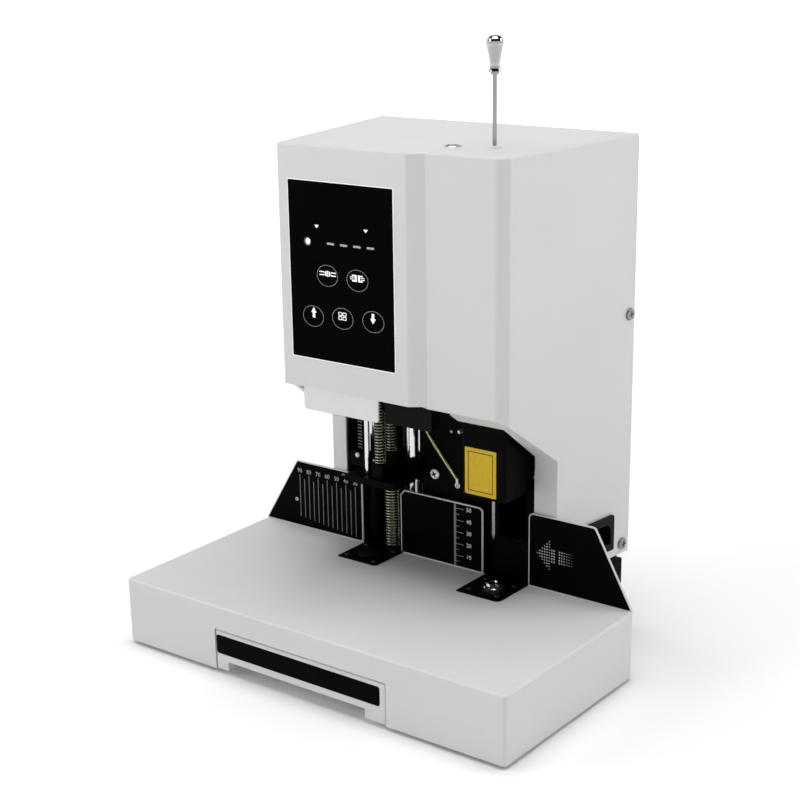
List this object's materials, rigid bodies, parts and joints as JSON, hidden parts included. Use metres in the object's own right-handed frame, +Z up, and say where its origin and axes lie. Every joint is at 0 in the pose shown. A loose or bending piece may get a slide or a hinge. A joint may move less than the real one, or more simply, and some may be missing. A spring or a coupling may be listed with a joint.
{
  "type": "document riveting machine",
  "caption": "Desk machine that drills a stack of paper and binds it with a hot plastic rivet, with stop plates, guide needle and chip drawer.",
  "frame": {"origin": "middle of the footprint (base front to rear screw heads), on the table", "axes": "+X towards the operator's right, +Y from the operator towards the back, +Z up"},
  "size_m": [0.36, 0.27, 0.4753],
  "materials": {
    "painted_body": "fine satin powder coat, light grey",
    "black_steel": "black semi-gloss powder coat",
    "black_film": "glossy black printed film",
    "key_black": "glossy black membrane key",
    "white_lens": "diffused white lens",
    "rubber": "matt black rubber",
    "bright_steel": "polished hard chrome",
    "spring_steel": "yellow zinc plated spring wire",
    "plain_steel": "ground steel",
    "zinc_steel": "bright zinc plated steel",
    "machined_alu": "machined and black anodised aluminium",
    "black_plastic": "black moulded plastic",
    "nylon": "white nylon",
    "black_oxide": "black oxide on steel",
    "brass": "turned brass",
    "circuit_board": "green solder mask",
    "supply_case": "bare aluminium case",
    "motor_case": "black motor case",
    "belt_rubber": "toothed rubber belt",
    "earth_lead": "green and yellow insulation"
  },
  "bodies": {
    "frame": {"base_housing": "painted_body", "base_bottom_plate": "zinc_steel", "rubber_feet": "rubber", "rear_chassis": "black_steel", "mech_frame": "black_steel", "guide_rods": "bright_steel", "mid_panel": "black_steel", "inner_duct": "black_plastic", "head_cover": "painted_body", "rear_cover": "painted_body", "guard_plate": "painted_body", "control_panel_film": "black_film", "status_led": "white_lens", "control_board": "circuit_board", "left_stop_plate": "painted_body", "centre_stop_plate": "painted_body", "right_stop_plate": "painted_body", "left_foot_plate": "black_steel", "right_foot_plate": "black_steel", "drill_pad": "black_plastic", "lower_rivet_die": "bright_steel", "foot_plate_screws": "black_oxide", "cover_screws": "zinc_steel", "top_screw": "zinc_steel", "power_inlet": "black_plastic", "power_supply": "supply_case", "drill_feed_motor": "motor_case", "rivet_feed_motor": "motor_case", "needle_bushing": "nylon", "return_spring": "spring_steel", "earth_wire": "earth_lead"},
    "drawer": {"chip_drawer": "zinc_steel", "drawer_front": "painted_body"},
    "drill_slide": {"drill_carriage": "machined_alu", "drill_motor": "motor_case", "drive_belt": "belt_rubber", "drill_feed_nut": "brass", "press_springs": "spring_steel", "pull_spring": "spring_steel"},
    "spindle": {"drill_spindle": "plain_steel", "spindle_pulley": "machined_alu", "hollow_drill_bit": "bright_steel"},
    "motor_rotor": {"motor_pulley": "machined_alu"},
    "press_foot": {"press_plate": "black_steel", "press_pins": "black_oxide"},
    "drill_screw": {"drill_lead_screw": "black_oxide"},
    "rivet_slide": {"rivet_carriage": "machined_alu", "rivet_head_cover": "black_steel", "heater_block": "plain_steel", "upper_rivet_head": "plain_steel", "rivet_feed_nut": "brass"},
    "rivet_screw": {"rivet_lead_screw": "black_oxide"},
    "needle": {"guide_needle": "bright_steel", "needle_knob": "bright_steel"},
    "rocker": {"rocker_switch": "black_plastic"},
    "drill_key_body": {"drill_key": "key_black"},
    "bind_key_body": {"bind_key": "key_black"},
    "up_key_body": {"up_key": "key_black"},
    "repeat_key_body": {"repeat_key": "key_black"},
    "down_key_body": {"down_key": "key_black"}
  },
  "joints": [
    {"name": "drawer_slide", "type": "slide", "parent": "frame", "child": "drawer", "axis": [0, -1, 0], "range_m": [0, 0.13]},
    {"name": "drill_feed", "type": "slide", "parent": "frame", "child": "drill_slide", "axis": [0, 0, -1], "range_m": [0, 0.0627], "deforming": ["return_spring"]},
    {"name": "press_lift", "type": "slide", "parent": "drill_slide", "child": "press_foot", "axis": [0, 0, 1], "range_m": [0, 0.044], "stiffness_N_per_m": 300, "springref_m": -0.01, "deforming": ["press_springs", "pull_spring"]},
    {"name": "drill_spin", "type": "hinge", "parent": "drill_slide", "child": "spindle", "pos_m": [-0.0515, 0.0165, 0.2], "axis": [0, 0, 1], "continuous": true},
    {"name": "motor_spin", "type": "hinge", "parent": "drill_slide", "child": "motor_rotor", "pos_m": [-0.0725, 0.031, 0.29], "axis": [0, 0, 1], "continuous": true},
    {"name": "drill_screw_spin", "type": "hinge", "parent": "frame", "child": "drill_screw", "pos_m": [-0.0535, 0.074, 0.2], "axis": [0, 0, 1], "range_deg": [0, 2260]},
    {"name": "rivet_feed", "type": "slide", "parent": "frame", "child": "rivet_slide", "axis": [0, 0, -1], "range_m": [0, 0.068]},
    {"name": "rivet_screw_spin", "type": "hinge", "parent": "frame", "child": "rivet_screw", "pos_m": [0.07, 0.074, 0.2], "axis": [0, 0, 1], "range_deg": [0, 2450]},
    {"name": "needle_slide", "type": "slide", "parent": "frame", "child": "needle", "axis": [0, 0, -1], "range_m": [0, 0.048]},
    {"name": "rocker_tilt", "type": "hinge", "parent": "frame", "child": "rocker", "pos_m": [0.11622, 0.07435, 0.08495], "axis": [-0.1102, -0.9939, 0], "range_deg": [0, 16]},
    {"name": "drill_key_press", "type": "slide", "parent": "frame", "child": "drill_key_body", "axis": [0, 1, 0], "range_m": [0, 0.0004], "stiffness_N_per_m": 2000},
    {"name": "bind_key_press", "type": "slide", "parent": "frame", "child": "bind_key_body", "axis": [0, 1, 0], "range_m": [0, 0.0004], "stiffness_N_per_m": 2000},
    {"name": "up_key_press", "type": "slide", "parent": "frame", "child": "up_key_body", "axis": [0, 1, 0], "range_m": [0, 0.0004], "stiffness_N_per_m": 2000},
    {"name": "repeat_key_press", "type": "slide", "parent": "frame", "child": "repeat_key_body", "axis": [0, 1, 0], "range_m": [0, 0.0004], "stiffness_N_per_m": 2000},
    {"name": "down_key_press", "type": "slide", "parent": "frame", "child": "down_key_body", "axis": [0, 1, 0], "range_m": [0, 0.0004], "stiffness_N_per_m": 2000}
  ],
  "couplings": [
    {"joint": "motor_spin", "follows": "drill_spin", "ratio": 1.7333},
    {"joint": "drill_screw_spin", "follows": "drill_feed", "rad_per_m": 628.32},
    {"joint": "rivet_screw_spin", "follows": "rivet_feed", "rad_per_m": 628.32}
  ]
}
